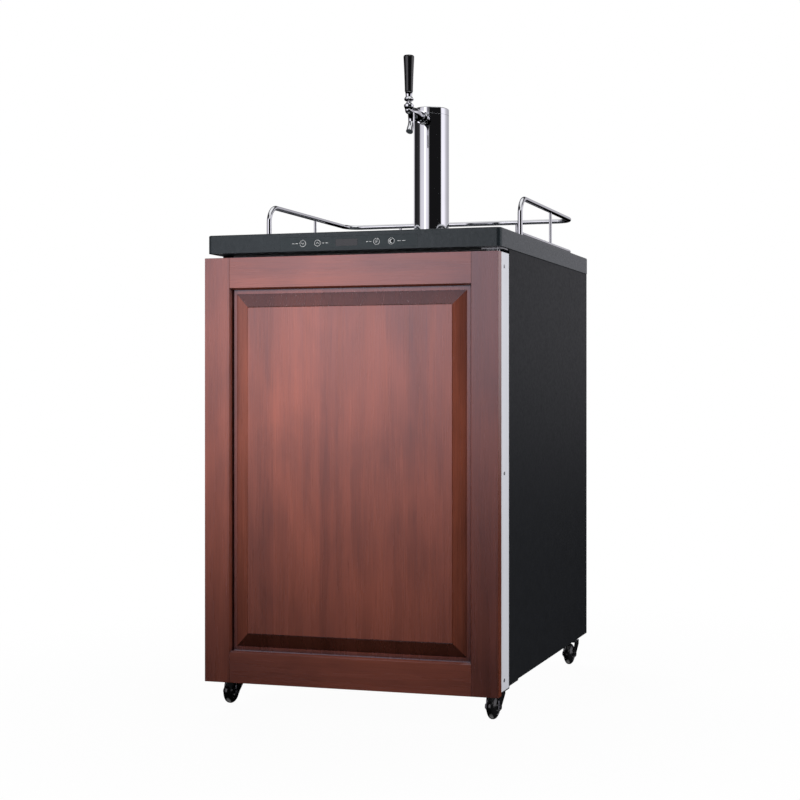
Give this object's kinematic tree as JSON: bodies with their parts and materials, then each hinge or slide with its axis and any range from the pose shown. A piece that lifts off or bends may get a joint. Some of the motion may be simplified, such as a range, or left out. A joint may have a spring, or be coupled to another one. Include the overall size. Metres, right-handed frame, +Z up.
{
  "type": "kegerator",
  "caption": "Single-tap keg beer dispenser: insulated cabinet with a raised-panel wooden door, chrome draft tower, guard rail and casters.",
  "frame": {"origin": "on the floor, under the centre of the bounding box", "axes": "+Z up; the door faces -Y; +X is the hinge side, to the right seen from the front"},
  "size_m": [0.592, 0.68, 1.307],
  "materials": {
    "cabinet_black": "fine-textured matt paint",
    "galvanised_steel": "bright zinc",
    "foam": "rigid foam",
    "white_plastic": "vacuum-formed, semi-gloss",
    "black_rubber": "soft moulded",
    "evaporator_aluminium": "roll-bonded sheet",
    "compressor_black": "gloss black",
    "condenser_black": "satin black",
    "worktop_black": "fine moulded texture",
    "fascia_black": "smooth satin",
    "display_dark": "smoked, polished",
    "board_green": "lacquered board",
    "chrome": "polished",
    "stainless": "brushed",
    "tray_black": "moulded",
    "handle_black": "polished",
    "door_wood": "cherry-stained maple, satin lacquer",
    "trim_aluminium": "bright anodised",
    "wheel_black": "hard moulded tread"
  },
  "bodies": {
    "cabinet": {"side_panel_left": "cabinet_black", "side_panel_right": "cabinet_black", "rear_panel": "cabinet_black", "base_pan": "galvanised_steel", "insulation": "foam", "inner_liner": "white_plastic", "keg_floor": "galvanised_steel", "compressor_cover": "cabinet_black", "gas_line_grommet": "black_rubber", "evaporator": "evaporator_aluminium", "compressor": "compressor_black", "condenser": "condenser_black", "worktop": "worktop_black", "control_fascia": "fascia_black", "display_window": "display_dark", "control_board": "board_green", "top_hinge_bracket": "galvanised_steel", "bottom_hinge_bracket": "galvanised_steel", "hinge_pins": "galvanised_steel", "guard_rail_upper": "chrome", "guard_rail_lower": "chrome", "tower_flange": "chrome", "tower_screws": "stainless", "tower_column": "chrome", "tower_cap": "chrome", "shank": "chrome", "coupling_nut": "chrome", "faucet_body": "chrome", "faucet_bonnet": "chrome", "beer_line": "stainless", "caster_plates": "galvanised_steel"},
    "door": {"door_stile_left": "door_wood", "door_stile_right": "door_wood", "door_rail_top": "door_wood", "door_rail_bottom": "door_wood", "door_raised_panel": "door_wood", "door_trim_frame": "trim_aluminium", "door_trim_screws": "stainless", "door_core": "foam", "door_liner": "white_plastic", "door_gasket": "black_rubber", "hinge_bushes": "white_plastic"},
    "lever": {"faucet_lever": "chrome", "handle_ferrule": "chrome", "tap_handle": "handle_black"},
    "valve": {"valve_shaft": "stainless"},
    "drip_tray": {"drip_tray": "tray_black"},
    "drip_grille": {"drip_grille": "stainless"},
    "key_down": {"key_down": "fascia_black"},
    "key_up": {"key_up": "fascia_black"},
    "key_unit": {"key_unit": "fascia_black"},
    "key_night": {"key_night": "fascia_black"},
    "fork_front_left": {"caster_fork_front_left": "galvanised_steel"},
    "wheel_front_left": {"caster_wheel_front_left": "wheel_black"},
    "fork_front_right": {"caster_fork_front_right": "galvanised_steel"},
    "wheel_front_right": {"caster_wheel_front_right": "wheel_black"},
    "fork_rear_left": {"caster_fork_rear_left": "galvanised_steel"},
    "wheel_rear_left": {"caster_wheel_rear_left": "wheel_black"},
    "fork_rear_right": {"caster_fork_rear_right": "galvanised_steel"},
    "wheel_rear_right": {"caster_wheel_rear_right": "wheel_black"}
  },
  "joints": [
    {"name": "door_hinge", "type": "hinge", "parent": "cabinet", "child": "door", "pos_m": [0.281, -0.297, 0.45], "axis": [0, 0, 1], "range_deg": [0, 110]},
    {"name": "tap_lever", "type": "hinge", "parent": "cabinet", "child": "lever", "pos_m": [0, -0.017, 1.203], "axis": [1, 0, 0], "range_deg": [0, 28]},
    {"name": "valve_slide", "type": "slide", "parent": "cabinet", "child": "valve", "axis": [0, 1, 0], "range_m": [0, 0.0056]},
    {"name": "tray_lift", "type": "slide", "parent": "cabinet", "child": "drip_tray", "axis": [0, 0, 1], "range_m": [0, 0.05]},
    {"name": "grille_lift", "type": "slide", "parent": "drip_tray", "child": "drip_grille", "axis": [0, 0, 1], "range_m": [0, 0.04]},
    {"name": "key_down_press", "type": "slide", "parent": "cabinet", "child": "key_down", "axis": [0, 1, 0], "range_m": [0, 0.0008], "stiffness_N_per_m": 400},
    {"name": "key_up_press", "type": "slide", "parent": "cabinet", "child": "key_up", "axis": [0, 1, 0], "range_m": [0, 0.0008], "stiffness_N_per_m": 400},
    {"name": "key_unit_press", "type": "slide", "parent": "cabinet", "child": "key_unit", "axis": [0, 1, 0], "range_m": [0, 0.0008], "stiffness_N_per_m": 400},
    {"name": "key_night_press", "type": "slide", "parent": "cabinet", "child": "key_night", "axis": [0, 1, 0], "range_m": [0, 0.0008], "stiffness_N_per_m": 400},
    {"name": "swivel_front_left", "type": "hinge", "parent": "cabinet", "child": "fork_front_left", "pos_m": [-0.268, -0.256, 0.05], "axis": [0, 0, 1], "continuous": true},
    {"name": "spin_front_left", "type": "hinge", "parent": "fork_front_left", "child": "wheel_front_left", "pos_m": [-0.268, -0.284, 0.023], "axis": [1, 0, 0], "continuous": true},
    {"name": "swivel_front_right", "type": "hinge", "parent": "cabinet", "child": "fork_front_right", "pos_m": [0.268, -0.256, 0.05], "axis": [0, 0, 1], "continuous": true},
    {"name": "spin_front_right", "type": "hinge", "parent": "fork_front_right", "child": "wheel_front_right", "pos_m": [0.268, -0.284, 0.023], "axis": [1, 0, 0], "continuous": true},
    {"name": "swivel_rear_left", "type": "hinge", "parent": "cabinet", "child": "fork_rear_left", "pos_m": [-0.268, 0.31, 0.05], "axis": [0, 0, 1], "continuous": true},
    {"name": "spin_rear_left", "type": "hinge", "parent": "fork_rear_left", "child": "wheel_rear_left", "pos_m": [-0.268, 0.282, 0.023], "axis": [1, 0, 0], "continuous": true},
    {"name": "swivel_rear_right", "type": "hinge", "parent": "cabinet", "child": "fork_rear_right", "pos_m": [0.268, 0.31, 0.05], "axis": [0, 0, 1], "continuous": true},
    {"name": "spin_rear_right", "type": "hinge", "parent": "fork_rear_right", "child": "wheel_rear_right", "pos_m": [0.268, 0.282, 0.023], "axis": [1, 0, 0], "continuous": true}
  ],
  "couplings": [
    {"joint": "valve_slide", "follows": "tap_lever", "m_per_rad": 0.0106}
  ]
}
